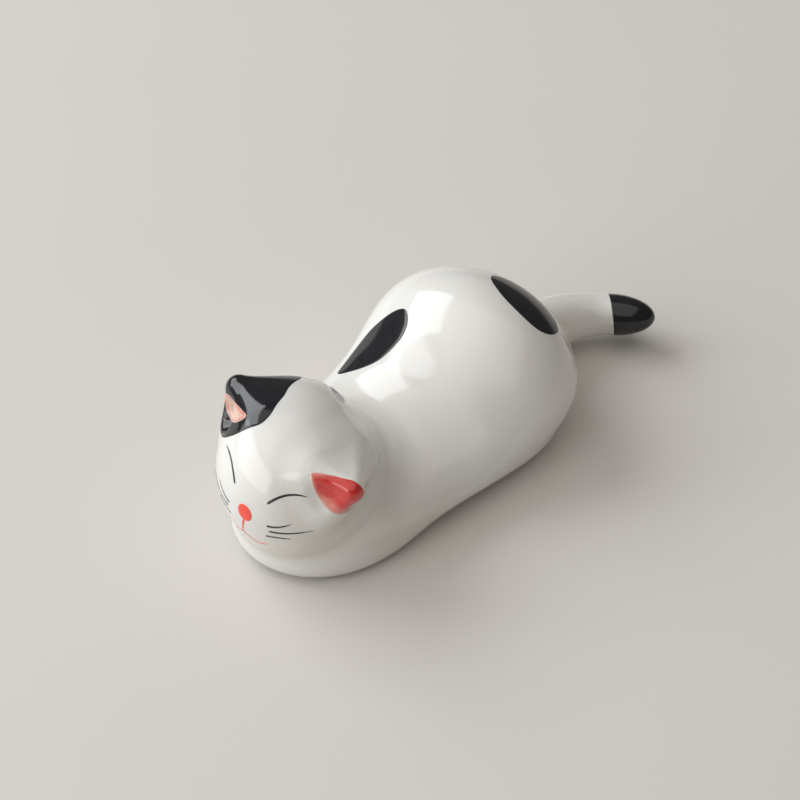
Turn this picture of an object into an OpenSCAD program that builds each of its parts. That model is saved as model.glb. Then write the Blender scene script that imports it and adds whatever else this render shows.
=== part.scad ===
// Chopstick rest in the form of a cat lying on its belly, head on its forelegs and tail stretched out.
// Glazed porcelain: the torso, head, ears and tail are clay pieces joined with slip before the firing.
// The dark patches, inner ears and features of the face are thin enamels on the fired glaze.
// The cat faces -Y, its rump is towards +Y, its left side is +X, and it stands on the plane z = 0.

/* [Haunch] */
// Place of the middle of the haunch along the body
haunch_y = 14; // [12:0.5:16]
// Height of the middle of the haunch
haunch_z = 9.2; // [8.5:0.1:10]
// Width of the haunch
haunch_w = 26; // [23:0.5:29]
// Length of the haunch
haunch_l = 19.2; // [17:0.2:21]
// Height of the haunch's own rounding
haunch_h = 19.2; // [17.6:0.2:20.4]

/* [Loin] */
// Place of the middle of the loin along the body
loin_y = 2; // [0:0.5:4]
// Height of the middle of the loin
loin_z = 4.2; // [3.8:0.1:4.6]
// Width of the loin
loin_w = 25.6; // [23:0.2:28]
// Length of the loin
loin_l = 35.6; // [33:0.2:38]
// Height of the loin's own rounding
loin_h = 9.4; // [8.6:0.1:10.2]

/* [Forelegs] */
// Place of the middle of the folded forelegs along the body
fore_y = -14.8; // [-15.6:0.2:-14]
// Height of the middle of the forelegs
fore_z = 3.1; // [2.8:0.1:3.4]
// Width over both forelegs
fore_w = 17.4; // [16:0.2:19]
// Length of the forelegs
fore_l = 18; // [17:0.2:19]
// Height of the forelegs' own rounding
fore_h = 7.2; // [6.4:0.1:8]
// Length over which the haunch, loin and forelegs flow into each other
body_blend = 10; // [8.5:0.25:11.5]

/* [Foot] */
// Height of the unglazed foot that the rest stands on
foot_h = 0.4; // [0.3:0.05:0.8]
// Distance of the foot's edge inside the torso's surface
foot_inset = 0.9; // [0.6:0.1:1.6]

/* [Head] */
// Place of the middle of the head along the body
head_y = -15.2; // [-15.8:0.1:-14.6]
// Height of the middle of the head
head_z = 10.4; // [10:0.1:11]
// Width of the head
head_w = 20.6; // [19.4:0.2:22]
// Depth of the head from the nose to the nape
head_l = 21; // [20:0.2:22]
// Height of the head's own rounding
head_h = 19.4; // [18.6:0.2:20.4]
// Angle by which the face turns to the cat's left
head_yaw = 3; // [0:0.5:6]
// Angle by which the head leans to the cat's left
head_roll = 3.5; // [0:0.5:6]
// Thickness of the slip in the seams between clay pieces
seam = 0.05; // [0.04:0.01:0.1]

/* [Ears] */
// Height of the middle of an ear's round tip over the head
ear_h = 2.2; // [1.8:0.1:2.6]
// Radius by which an ear's front edges and tip are rounded
ear_round = 1.1; // [0.9:0.1:1.3]
// Depth to which an ear's front reaches below the head's surface
ear_sink = 0.9; // [0.7:0.1:1.1]
// Radius by which an ear's back is rounded where it runs out on the head
ear_back_round = 3; // [2.6:0.1:3.4]
// Depth to which an ear's back reaches below the head's surface
ear_back_sink = 2.7; // [2.4:0.1:3]

/* [Tail] */
// Height of the tail's underside over the ground at the rump
tail_root_lift = 0.3; // [0.2:0.05:0.8]
// Height of the tail's underside over the ground at the tip
tail_tip_lift = 1.5; // [1.1:0.1:1.9]
// Diameter of the tail at the rump
tail_root_d = 8.8; // [8:0.1:9.4]
// Diameter of the tail where its round end starts
tail_tip_d = 5.2; // [4.6:0.1:5.8]
// Length of the tail's round end
tail_end_l = 5.4; // [3:0.2:6]
// Distance from the haunch's middle to the start of the tail's bend
tail_run = 12; // [11.4:0.2:14]
// Radius of the tail's bend
tail_bend_r = 11.5; // [10.5:0.5:13]
// Angle through which the tail bends to the cat's left
tail_turn = 54; // [40:1:66]
// Length of the dark enamel from the tail's tip
tail_tip_l = 5.6; // [4:0.2:7]

/* [Enamel] */
// Thickness of the dark patches and the inner ears
patch_t = 0.16; // [0.12:0.01:0.24]
// Length over which a patch thins out to its edge
patch_edge = 0.5; // [0.3:0.05:0.7]
// Thickness of the painted lines
line_t = 0.12; // [0.08:0.01:0.18]
// Width of the eye lines
eye_line_w = 0.46; // [0.34:0.02:0.6]
// Width of the whisker lines
whisker_line_w = 0.38; // [0.3:0.02:0.5]
// Width of the mouth lines
mouth_line_w = 0.38; // [0.3:0.02:0.5]
// Gap between the glaze and an enamel's underside
enamel_gap = 0.03; // [0.03:0.01:0.05]
// Length of the patch on the back
back_patch_l = 11.2; // [9:0.2:12]
// Width of the patch on the back
back_patch_w = 6; // [4.8:0.2:7]
// Length of the patch on the rump
rump_patch_l = 12; // [10:0.2:13]
// Width of the patch on the rump
rump_patch_w = 6.8; // [5.6:0.2:8]
// Length of the nose
nose_l = 2.3; // [1.8:0.1:2.6]
// Width of the nose
nose_w = 2.1; // [1.7:0.1:2.4]
// Greatest width of the dark patch round the right ear
ear_patch_w = 4.4; // [3.4:0.2:5.2]

/* [Hidden] */

// Colours of the glaze, the bare clay and the enamels
glaze_colour = [0.93, 0.92, 0.88];
clay_colour = [0.85, 0.80, 0.72];
dark_colour = [0.09, 0.09, 0.10];
red_colour = [0.82, 0.16, 0.13];
pink_colour = [0.93, 0.66, 0.57];

// Counts of facets
torso_rings = 46;
torso_side_steps = 38;
torso_base_steps = 8;
head_steps = 44;
head_rings = 17;
seat_rings = 5;
ear_steps = 30;
ear_rings = 8;
ear_seat_rings = 3;
tail_steps = 24;
tail_rings = 14;
tail_end_rings = 5;
tail_seat_rings = 3;
tail_tip_rings = 10;
patch_steps = 44;
patch_rings = 5;
ear_patch_rings = 4;
nose_steps = 20;
nose_rings = 2;
line_stations = 10;
foot_steps = 40;
bisections = 24;

// Angles of a full turn and of a quarter of it
full_turn_angle = 360;
quarter_turn_angle = full_turn_angle / 4;

// Least angle from straight down to the edge of the torso's flat base
least_base_angle = 24;

// Angles up between which the head meets the torso
head_seat_low_angle = -85;
head_seat_high_angle = 30;

// Angles from an ear's axis between which the ear meets the head
ear_seat_low_angle = 20;
ear_seat_high_angle = 130;

// Directions of the axes
along = [0, 1, 0];
upward = [0, 0, 1];

// Middles and half sizes of the roundings
haunch_at = [0, haunch_y, haunch_z];
haunch_r = [haunch_w, haunch_l, haunch_h] / 2;
loin_at = [0, loin_y, loin_z];
loin_r = [loin_w, loin_l, loin_h] / 2;
fore_at = [0, fore_y, fore_z];
fore_r = [fore_w, fore_l, fore_h] / 2;
head_at = [0, head_y, head_z];
head_r = [head_w, head_l, head_h] / 2;

// Places on the head and the torso are shares of a quarter turn, round from the face and up.
// On the head they are counted from the middle of the face, on the torso from the middle of the haunch.

// Inner, outer and back corner of each ear on the head, then its tip
left_ear_shares = [[0.53, 0.51], [0.64, 0.22], [1.22, 0.47], [0.79, 0.36]];
right_ear_shares = [[-0.62, 0.61], [-0.86, 0.26], [-1.39, 0.53], [-0.97, 0.39]];

// Curves of the lines on the left of the face
eye_shares = [[0.16, 0.22], [0.25, 0.35], [0.39, 0.36], [0.47, 0.33]];
whisker_shares = [
    [[0.17, 0.02], [0.23, 0.02], [0.29, 0.04], [0.36, 0.08]],
    [[0.19, -0.03], [0.3, -0.02], [0.41, -0.01], [0.52, 0.01]],
    [[0.17, -0.1], [0.22, -0.08], [0.3, -0.08], [0.36, -0.08]]
];

// Curves of the mouth and the middle of the nose
mouth_stem_shares = [[-0.02, -0.04], [-0.03, -0.09], [-0.04, -0.13], [-0.05, -0.18]];
mouth_left_shares = [[-0.04, -0.2], [0, -0.28], [0.09, -0.29], [0.18, -0.21]];
mouth_right_shares = [[-0.06, -0.2], [-0.1, -0.27], [-0.16, -0.3], [-0.22, -0.28]];
nose_at_shares = [-0.01, 0.05];
nose_spin_share = 0.09;

// Middles of the two body patches
back_patch_at_shares = [-0.46, 0.14];
back_patch_spin_share = 1.07;
rump_patch_at_shares = [1.5, 0.58];
rump_patch_spin_share = 0.36;

// Outlines of the two body patches, as shares of half their length and half their width
back_patch_outline_shares = [
    [-1.02, 0.3], [-0.79, 0.87], [-0.23, 0.97], [0.36, 0.67], [0.82, 0.3], [0.98, -0.1],
    [0.88, -0.67], [0.59, -1], [0.21, -1.03], [-0.25, -0.87], [-0.71, -0.33]
];
rump_patch_outline_shares = [
    [0.98, -0.18], [0.83, -0.65], [0.47, -0.94], [-0.1, -1.06], [-0.63, -0.94], [-0.97, -0.47],
    [-1, 0.24], [-0.77, 0.76], [-0.28, 0.94], [0.3, 0.82], [0.77, 0.38]
];

// Width of the dark patch in twelve directions round the right ear, as shares of its greatest width
ear_patch_width_shares = [0.16, 0.26, 0.24, 0.18, 0.14, 0.33, 0.78, 0.95, 1, 0.91, 0.76, 0.58];

// Bends of the inner ear's outline, as shares along the ear's front edge and up to its tip
inner_outline_shares = [[0.24, 0.28], [0.76, 0.28], [0.86, 0.38], [0.57, 0.86], [0.43, 0.86], [0.14, 0.38]];

// Size of each inner ear, as a share of that outline
red_cover_share = 1.25;
pink_cover_share = 1;

// Thickness of an enamel at its edge, as a share of its full thickness
edge_share = 0.2;

// Shoulder of a painted line, as shares of its half width and its thickness
line_shoulder_shares = [0.6, 0.8];

// Exponent by which the rings of the dark tip crowd towards its end
tail_tip_crowding = 1.3;
// Share by which the dark tip reaches farther back on one side, and the place of that side round the tail
tail_tip_lean_share = 0.1;
tail_tip_lean_angle = 155;

// Distance from the surface of an ellipsoid, positive outside
function ellipsoid_gap(p, at, r) =
    let (q = p - at,
        a = norm([q.x / r.x, q.y / r.y, q.z / r.z]),
        b = norm([q.x / r.x / r.x, q.y / r.y / r.y, q.z / r.z / r.z]))
    a * (a - 1) / b;

// Smaller of two distances, rounded over the length k where they meet
function smooth_min(a, b, k) = min(a, b) - pow(max(k - abs(a - b), 0), 2) / (4 * k);

// Distance from the torso's surface, before its base is cut flat
function torso_gap(p) =
    smooth_min(
        smooth_min(ellipsoid_gap(p, haunch_at, haunch_r), ellipsoid_gap(p, loin_at, loin_r), body_blend),
        ellipsoid_gap(p, fore_at, fore_r),
        body_blend);

// Value between low and high at which the function f rises through zero
function rising_root(f, low, high, steps = bisections) =
    steps == 0 ? (low + high) / 2 :
    let (middle = (low + high) / 2)
    f(middle) > 0 ? rising_root(f, low, middle, steps - 1) : rising_root(f, middle, high, steps - 1);

// Point where the ray from start meets the surface at which gap equals the offset
function cast(gap, start, direction, reach, offset = 0) =
    start + direction * rising_root(function (t) gap(start + direction * t) - offset, 0, reach);

function unit(v) = v / norm(v);
function mix(a, b, share) = a + (b - a) * share;
function last(list) = list[len(list) - 1];

// Outward direction of a surface at a point, from the change of its gap over the length h
function outward(gap, p, h) =
    unit([
        gap(p + [h, 0, 0]) - gap(p - [h, 0, 0]),
        gap(p + [0, h, 0]) - gap(p - [0, h, 0]),
        gap(p + [0, 0, h]) - gap(p - [0, 0, h])
    ]);

// Direction at an angle round from -Y towards +X and an angle up
function aim(angles) =
    [cos(angles[1]) * sin(angles[0]), -cos(angles[1]) * cos(angles[0]), sin(angles[1])];

// Point on a cubic curve with four control points
function curve_point(c, t) =
    pow(1 - t, 3) * c[0] + 3 * pow(1 - t, 2) * t * c[1] + 3 * (1 - t) * t * t * c[2] + pow(t, 3) * c[3];

// Faces between rings of points, closed by one pole at each end
function capped_faces(rings, steps) =
    concat(
        [for (j = [0 : steps - 1]) [0, 1 + j, 1 + (j + 1) % steps]],
        [for (i = [0 : rings - 2], j = [0 : steps - 1])
            let (a = 1 + i * steps + j, b = 1 + i * steps + (j + 1) % steps)
            each [[a, a + steps, b], [b, a + steps, b + steps]]],
        [for (j = [0 : steps - 1])
            let (base = 1 + (rings - 1) * steps)
            [base + j, 1 + rings * steps, base + (j + 1) % steps]]);

// Closed solid through rings of points with a pole at each end, the rings clockwise from the first
module ringed(first_pole, rings, last_pole) {
    polyhedron(
        points = concat([first_pole], [for (ring = rings) each ring], [last_pole]),
        faces = capped_faces(len(rings), len(rings[0])));
}

// Closed solid through rings of points that follow each other round to the first again
module looped(rings) {
    steps = len(rings[0]);
    count = len(rings);
    polyhedron(
        points = [for (ring = rings) each ring],
        faces = [for (i = [0 : count - 1], j = [0 : steps - 1])
            let (a = i * steps + j,
                b = i * steps + (j + 1) % steps,
                c = (i + 1) % count * steps + j,
                d = (i + 1) % count * steps + (j + 1) % steps)
            each [[a, b, c], [b, d, c]]]);
}

// Foremost and rearmost points of the torso
torso_front = cast(function (p) torso_gap(p), fore_at, -along, fore_l);
torso_back = cast(function (p) torso_gap(p), haunch_at, along, haunch_l);

// Half width of the torso at a height, or zero where the torso doesn't reach it
function torso_half_w(y, z, offset = 0) =
    torso_gap([0, y, z]) >= offset ? 0 :
    cast(function (p) torso_gap(p), [0, y, z], [1, 0, 0], haunch_w, offset).x;

// Ring of points round the torso at one place along it, flat where it meets the foot
function torso_ring(y) =
    let (share = (y - torso_front.y) / (torso_back.y - torso_front.y),
        middle = [0, y, mix(torso_front.z, torso_back.z, share)],
        edge = max(atan2(torso_half_w(y, foot_h), middle.z - foot_h), least_base_angle),
        angles = concat(
            [for (j = [0 : torso_base_steps - 1]) mix(-edge, edge, j / torso_base_steps)],
            [for (j = [0 : torso_side_steps - 1]) mix(edge, full_turn_angle - edge, j / torso_side_steps)]))
    [for (a = angles)
        let (direction = [-sin(a), 0, -cos(a)],
            p = cast(function (p) torso_gap(p), middle, direction, haunch_w))
        p.z < foot_h ? middle + direction * (middle.z - foot_h) / cos(a) : p];

module torso() {
    color(glaze_colour)
    ringed(
        torso_front,
        [for (i = [1 : torso_rings]) torso_ring(
            mix(torso_front.y, torso_back.y, (1 - cos(180 * i / (torso_rings + 1))) / 2))],
        torso_back);
}

// Unglazed foot: the torso's outline at its base, drawn in by the inset
module foot() {
    front = mix(fore_y, loin_y, 0.5);
    back = mix(haunch_y, loin_y, 0.5);
    gap = function (p) torso_gap(p);
    front_y = cast(gap, [0, front, foot_h], -along, fore_l, -foot_inset).y;
    back_y = cast(gap, [0, back, foot_h], along, haunch_l, -foot_inset).y;
    stations = [for (i = [1 : foot_steps - 1]) mix(front_y, back_y, (1 - cos(180 * i / foot_steps)) / 2)];
    side = [for (y = stations) [torso_half_w(y, foot_h, -foot_inset), y]];
    color(clay_colour)
    linear_extrude(foot_h)
    polygon(concat(
        [[0, front_y]],
        side,
        [[0, back_y]],
        [for (i = [1 : len(side)]) let (p = side[len(side) - i]) [-p.x, p.y]]));
}

// Turns a direction of the head's own frame to the lean and turn of the head
function leaned(v) =
    let (q = [v.x * cos(head_roll) + v.z * sin(head_roll), v.y, v.z * cos(head_roll) - v.x * sin(head_roll)])
    [q.x * cos(head_yaw) - q.y * sin(head_yaw), q.x * sin(head_yaw) + q.y * cos(head_yaw), q.z];

// Turns a direction back to the head's own frame
function unleaned(v) =
    let (q = [v.x * cos(head_yaw) + v.y * sin(head_yaw), v.y * cos(head_yaw) - v.x * sin(head_yaw), v.z])
    [q.x * cos(head_roll) - q.z * sin(head_roll), q.y, q.z * cos(head_roll) + q.x * sin(head_roll)];

// Distance from the head's surface, positive outside
function head_gap(p) = ellipsoid_gap(unleaned(p - head_at), [0, 0, 0], head_r);

// Point over the head's surface at two angles from the middle of the face
function head_point(angles, height = 0) =
    let (v = aim(angles),
        surface = [v.x * head_r.x, v.y * head_r.y, v.z * head_r.z],
        normal = unit([v.x / head_r.x, v.y / head_r.y, v.z / head_r.z]))
    head_at + leaned(surface + normal * height);

// Point over the head's surface in the direction of a point, seen from the head's middle
function onto_head(p, height = 0) =
    let (v = unleaned(p - head_at),
        q = unit([v.x / head_r.x, v.y / head_r.y, v.z / head_r.z]))
    head_point([atan2(q.x, -q.y), asin(q.z)], height);

// Angle up at which the head's surface meets the torso, for an angle round the head
function seat_angle(round_angle) =
    rising_root(
        function (up) torso_gap(head_point([round_angle, up])) - seam,
        head_seat_low_angle, head_seat_high_angle);

// Point of the torso's top below a point, with the slip on it
function on_torso(p) =
    [p.x, p.y, rising_root(function (z) torso_gap([p.x, p.y, z]) - seam, fore_z, head_z)];

module head() {
    rounds = [for (j = [0 : head_steps - 1]) -full_turn_angle * j / head_steps];
    seats = [for (a = rounds) seat_angle(a)];
    dome = [for (i = [1 : head_rings])
        [for (j = [0 : head_steps - 1]) head_point([rounds[j], mix(90, seats[j], i / head_rings)])]];
    seat_middle = on_torso(head_at);
    underside = [for (i = [1 : seat_rings - 1])
        [for (p = last(dome)) on_torso(mix(p, seat_middle, i / seat_rings))]];
    color(glaze_colour)
    ringed(head_point([0, 90]), concat(dome, underside), seat_middle);
}

// Distance from the straight line between two points
function line_gap(p, a, b) =
    let (share = (p - a) * (b - a) / ((b - a) * (b - a)))
    norm(p - mix(a, b, min(max(share, 0), 1)));

// Distance from the flat triangle between three points
function triangle_gap(p, a, b, c) =
    let (n = unit(cross(b - a, c - a)))
    cross(b - a, p - a) * n > 0 && cross(c - b, p - b) * n > 0 && cross(a - c, p - c) * n > 0 ?
        abs((p - a) * n) :
        min(line_gap(p, a, b), line_gap(p, b, c), line_gap(p, c, a));

// Whether two points lie on the same side of the plane through three points
function same_side(p, q, a, b, c) =
    let (n = cross(b - a, c - a)) ((p - a) * n) * ((q - a) * n) >= 0;

// Distance from an ear's rounded surface, given its corners and tip, positive outside
function ear_gap(p, corners) =
    let (a = corners[0], b = corners[1], c = corners[2], tip = corners[3],
        back_share = (p - tip) * (c - tip) / ((c - tip) * (c - tip)),
        rounding = mix(ear_round, ear_back_round, min(max(back_share, 0), 1)))
    same_side(p, c, tip, a, b) && same_side(p, a, tip, b, c) &&
    same_side(p, b, tip, c, a) && same_side(p, tip, a, b, c) ?
        -rounding :
        min(triangle_gap(p, tip, a, b), triangle_gap(p, tip, b, c), triangle_gap(p, tip, c, a)) - rounding;

// An ear's three corners and tip as points, from their places on the head
function ear_corners(ear_shares) =
    let (heights = [-ear_sink, -ear_sink, -ear_back_sink, ear_h])
    [for (i = [0 : 3]) head_point(ear_shares[i] * quarter_turn_angle, heights[i])];

// Frame of an ear: its start for rays inside it, its axis to the tip and two directions across it
function ear_frame(corners) =
    let (start = (corners[0] + corners[1] + corners[2] + corners[3]) / 4,
        axis = unit(corners[3] - start),
        across = unit(cross(axis, corners[0] - corners[1])))
    [start, axis, across, cross(axis, across)];

// Direction in an ear's frame at an angle from the axis and an angle round it
function ear_aim(frame, off, round_angle) =
    frame[1] * cos(off) + (frame[2] * cos(round_angle) + frame[3] * sin(round_angle)) * sin(off);

// Point over an ear's surface in a direction from its start
function ear_point(frame, corners, direction, offset = 0) =
    cast(function (p) ear_gap(p, corners), frame[0], direction, head_w, offset);

// Angle from the axis at which an ear's surface meets the head
function ear_seat_angle(frame, corners, round_angle) =
    rising_root(
        function (off) seam - head_gap(ear_point(frame, corners, ear_aim(frame, off, round_angle))),
        ear_seat_low_angle, ear_seat_high_angle, bisections / 2);

// Ring of points at which an ear's surface meets the head
function ear_seat(frame, corners) =
    [for (j = [0 : ear_steps - 1])
        let (a = full_turn_angle * j / ear_steps)
        ear_point(frame, corners, ear_aim(frame, ear_seat_angle(frame, corners, a), a))];

module ear(ear_shares, tint) {
    corners = ear_corners(ear_shares);
    frame = ear_frame(corners);
    middle = onto_head(frame[0], seam);
    angles = [for (j = [0 : ear_steps - 1]) -full_turn_angle * j / ear_steps];
    seats = [for (a = angles) ear_seat_angle(frame, corners, a)];
    wall = [for (i = [1 : ear_rings])
        [for (j = [0 : ear_steps - 1])
            ear_point(frame, corners, ear_aim(frame, seats[j] * i / ear_rings, angles[j]))]];
    underside = [for (i = [1 : ear_seat_rings - 1])
        [for (p = last(wall)) onto_head(mix(p, middle, i / ear_seat_rings), seam)]];
    color(tint)
    ringed(ear_point(frame, corners, frame[1]), concat(wall, underside), middle);
}

module left_ear() {
    ear(left_ear_shares, glaze_colour);
}

module right_ear() {
    ear(right_ear_shares, dark_colour);
}

// Length of the tail's axis from the haunch's middle to the start of its round end
tail_bend_l = tail_bend_r * tail_turn * PI / 180;
tail_l = tail_run + tail_bend_l;

// Share of the way from the rump to the tail's tip at a distance along the tail's axis
function tail_share(s) = (s - haunch_l / 2) / (tail_l - haunch_l / 2);

// Radius of the tail at a distance along its axis
function tail_r(s) = mix(tail_root_d, tail_tip_d, tail_share(s)) / 2;

// Point of the tail's axis at a distance along it
function tail_axis(s) =
    let (turned = max(s - tail_run, 0) / tail_bend_r * 180 / PI)
    [
        tail_bend_r * (1 - cos(turned)),
        haunch_y + min(s, tail_run) + tail_bend_r * sin(turned),
        tail_r(s) + mix(tail_root_lift, tail_tip_lift, tail_share(s))
    ];

// Direction of the tail's axis at a distance along it
function tail_heading(s) =
    let (turned = max(s - tail_run, 0) / tail_bend_r * 180 / PI) [sin(turned), cos(turned), 0];

// Angles of the points of a ring round the tail
tail_ring_angles = [for (j = [0 : tail_steps - 1]) -full_turn_angle * j / tail_steps];

// Point round the tail at a distance along it, an angle, a radius and a push along the axis
function tail_point(s, angle, r, push = 0) =
    let (heading = tail_heading(s), sideways = cross(heading, upward))
    tail_axis(s) + heading * push + (sideways * cos(angle) + upward * sin(angle)) * r;

// Point on the tail's round end, turned from 0 at its start to 90 at its tip, at a height over it
function tail_end_point(turned, angle, height = 0) =
    tail_point(tail_l, angle, (tail_tip_d / 2 + height) * cos(turned), (tail_end_l + height) * sin(turned));

// Point of the tail at a distance back from its tip, also on its round end
function tail_point_from_tip(back, angle, height) =
    let (s = tail_l + tail_end_l - back)
    s > tail_l
        ? tail_end_point(asin((s - tail_l) / tail_end_l), angle, height)
        : tail_point(s, angle, tail_r(s) + height);

// Rings round the tail, round its end and round its dark tip
function tail_ring(s) = [for (angle = tail_ring_angles) tail_point(s, angle, tail_r(s))];
function tail_end_ring(turned) = [for (angle = tail_ring_angles) tail_end_point(turned, angle)];
function tail_tip_ring(back, height) =
    [for (angle = tail_ring_angles)
        let (lean = tail_tip_lean_share * cos(angle - tail_tip_lean_angle))
        tail_point_from_tip(back * (1 + lean), angle, height)];

// Point of the rump's surface behind a point, with the slip on it
function on_rump(p) =
    [p.x, rising_root(function (y) torso_gap([p.x, y, p.z]) - seam, haunch_y, haunch_y + haunch_l), p.z];

module tail() {
    rump = on_rump(tail_axis(haunch_l / 2));
    start = rump.y - haunch_y;
    root = [for (p = tail_ring(start)) on_rump(p)];
    seat = [for (i = [1 : tail_seat_rings - 1])
        [for (p = root) on_rump(mix(rump, p, i / tail_seat_rings))]];
    body = [for (i = [1 : tail_rings])
        tail_ring(mix(start, tail_l, i / tail_rings))];
    end = [for (i = [1 : tail_end_rings - 1]) tail_end_ring(90 * i / tail_end_rings)];
    tip = tail_axis(tail_l) + tail_heading(tail_l) * tail_end_l;
    color(glaze_colour)
    ringed(rump, concat(seat, [root], body, end), tip);
}

// Height over the glaze of an enamel's upper side at a distance inside its edge
function enamel_height(inside, thickness) =
    enamel_gap + thickness * mix(edge_share, 1, sqrt(min(inside / patch_edge, 1)));

// Dark enamel over the end of the tail, as a thin cap
module tail_tip() {
    heading = tail_heading(tail_l);
    end = tail_axis(tail_l) + heading * tail_end_l;
    backs = [for (i = [1 : tail_tip_rings]) tail_tip_l * pow(i / tail_tip_rings, tail_tip_crowding)];
    inner = [for (back = backs) tail_tip_ring(back, enamel_gap)];
    outer = [for (i = [1 : tail_tip_rings])
        let (back = backs[tail_tip_rings - i])
        tail_tip_ring(back, enamel_height(tail_tip_l - back, patch_t))];
    color(dark_colour)
    ringed(end + heading * enamel_gap, concat(inner, outer), end + heading * (enamel_gap + patch_t));
}

// Point over the torso in a direction from the haunch's middle
function over_torso(direction, height = 0) =
    cast(function (p) torso_gap(p), haunch_at, direction, loin_l, height);

// Frame of a patch on the torso: its middle and the directions along and across it
function patch_frame(at_shares, spin_share) =
    let (middle = over_torso(aim(at_shares * quarter_turn_angle)),
        spin = spin_share * quarter_turn_angle,
        normal = outward(function (p) torso_gap(p), middle, patch_edge),
        level = unit(cross(upward, normal)),
        rise = cross(normal, level))
    [middle, level * cos(spin) + rise * sin(spin), rise * cos(spin) - level * sin(spin)];

// Value of a closed table at a share of the way round it, smoothed between its entries
function round_value(table, share) =
    let (count = len(table),
        place = share * count,
        i = floor(place),
        t = place - i,
        a = table[(i + count - 1) % count],
        b = table[i % count],
        c = table[(i + 1) % count],
        d = table[(i + 2) % count])
    b + t * (c - a + t * (2 * a - 5 * b + 4 * c - d + t * (3 * (b - c) + d - a))) / 2;

// Patch of enamel on the torso, within an outline of shares of its half length and half width
module torso_patch(at_shares, spin_share, length, width, outline_shares) {
    frame = patch_frame(at_shares, spin_share);
    rim = [for (j = [0 : patch_steps - 1])
        let (q = round_value(outline_shares, j / patch_steps))
        frame[1] * length / 2 * q.x + frame[2] * width / 2 * q.y];
    top = [for (i = [1 : patch_rings])
        let (share = sin(90 * i / patch_rings))
        [for (q = rim) over_torso(
            unit(frame[0] + q * share - haunch_at),
            enamel_height((1 - share) * width / 2, patch_t))]];
    under = [for (i = [0 : patch_rings - 1])
        let (share = sin(90 * (patch_rings - i) / patch_rings))
        [for (q = rim) over_torso(unit(frame[0] + q * share - haunch_at), enamel_gap)]];
    direction = unit(frame[0] - haunch_at);
    color(dark_colour)
    ringed(over_torso(direction, enamel_gap + patch_t), concat(top, under), over_torso(direction, enamel_gap));
}

module back_patch() {
    torso_patch(
        back_patch_at_shares, back_patch_spin_share, back_patch_l, back_patch_w, back_patch_outline_shares);
}

module rump_patch() {
    torso_patch(
        rump_patch_at_shares, rump_patch_spin_share, rump_patch_l, rump_patch_w, rump_patch_outline_shares);
}

// Dark enamel on the head round the right ear, as a thin ring with the ear's seat open
module ear_patch() {
    corners = ear_corners(right_ear_shares);
    frame = ear_frame(corners);
    middle = onto_head(frame[0]);
    inner = [for (p = ear_seat(frame, corners)) p + unit(p - middle) * enamel_gap * 2];
    outer = [for (j = [0 : ear_steps - 1])
        let (share = j / ear_steps, width = ear_patch_w * round_value(ear_patch_width_shares, share))
        middle + ear_aim(frame, quarter_turn_angle, full_turn_angle * share)
            * (norm(inner[j] - middle) + width)];
    top = [for (i = [0 : ear_patch_rings])
        let (share = sin(90 * i / ear_patch_rings))
        [for (j = [0 : ear_steps - 1]) onto_head(
            mix(inner[j], outer[j], share),
            enamel_height((1 - share) * norm(outer[j] - inner[j]), patch_t))]];
    under = [for (i = [0 : ear_patch_rings])
        let (share = sin(90 * (ear_patch_rings - i) / ear_patch_rings))
        [for (j = [0 : ear_steps - 1]) onto_head(mix(inner[j], outer[j], share), enamel_gap)]];
    color(dark_colour)
    looped(concat(top, under));
}

// Point on the front face of an ear, at shares along its base and up to its tip
function ear_face_point(corners, shares) =
    mix(mix(corners[0], corners[1], shares[0]), corners[3], shares[1]);

// Point of a closed outline that rounds off the bends of a list, at a share of the way round
function soft_outline(bends, share) =
    let (count = len(bends),
        place = share * count,
        i = floor(place),
        t = place - i)
    (bends[i % count] * (1 - t) * (1 - t)
        + bends[(i + 1) % count] * (1 + 2 * t - 2 * t * t)
        + bends[(i + 2) % count] * t * t) / 2;

// Enamel on the front face of an ear
module ear_inner(ear_shares, cover_share, tint) {
    corners = ear_corners(ear_shares);
    side = sign(ear_shares[0][0]);
    frame = ear_frame(corners);
    bends = [for (shares = inner_outline_shares) ear_face_point(corners, shares)];
    rim = [for (j = [0 : patch_steps - 1]) soft_outline(bends, -side * j / patch_steps + 1)];
    middle = (bends[0] + bends[1] + bends[3] + bends[4]) / 4;
    half_w = norm(corners[1] - corners[0]) * cover_share / 4;
    top = [for (i = [1 : nose_rings + 1])
        let (share = sin(90 * i / (nose_rings + 1)))
        [for (q = rim) ear_point(
            frame, corners, unit(mix(middle, q, share * cover_share) - frame[0]),
            enamel_height((1 - share) * half_w, patch_t))]];
    under = [for (i = [0 : nose_rings])
        let (share = sin(90 * (nose_rings + 1 - i) / (nose_rings + 1)))
        [for (q = rim) ear_point(
            frame, corners, unit(mix(middle, q, share * cover_share) - frame[0]), enamel_gap)]];
    direction = unit(middle - frame[0]);
    color(tint)
    ringed(
        ear_point(frame, corners, direction, enamel_gap + patch_t),
        concat(top, under),
        ear_point(frame, corners, direction, enamel_gap));
}

module left_ear_inner() {
    ear_inner(left_ear_shares, red_cover_share, red_colour);
}

module right_ear_inner() {
    ear_inner(right_ear_shares, pink_cover_share, pink_colour);
}

// Point over the head at two lengths round and up from a place on the face
function beside(at_shares, across, up, height) =
    head_point(at_shares * quarter_turn_angle + [across / head_r.y, up / head_r.z] * 180 / PI, height);

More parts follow.
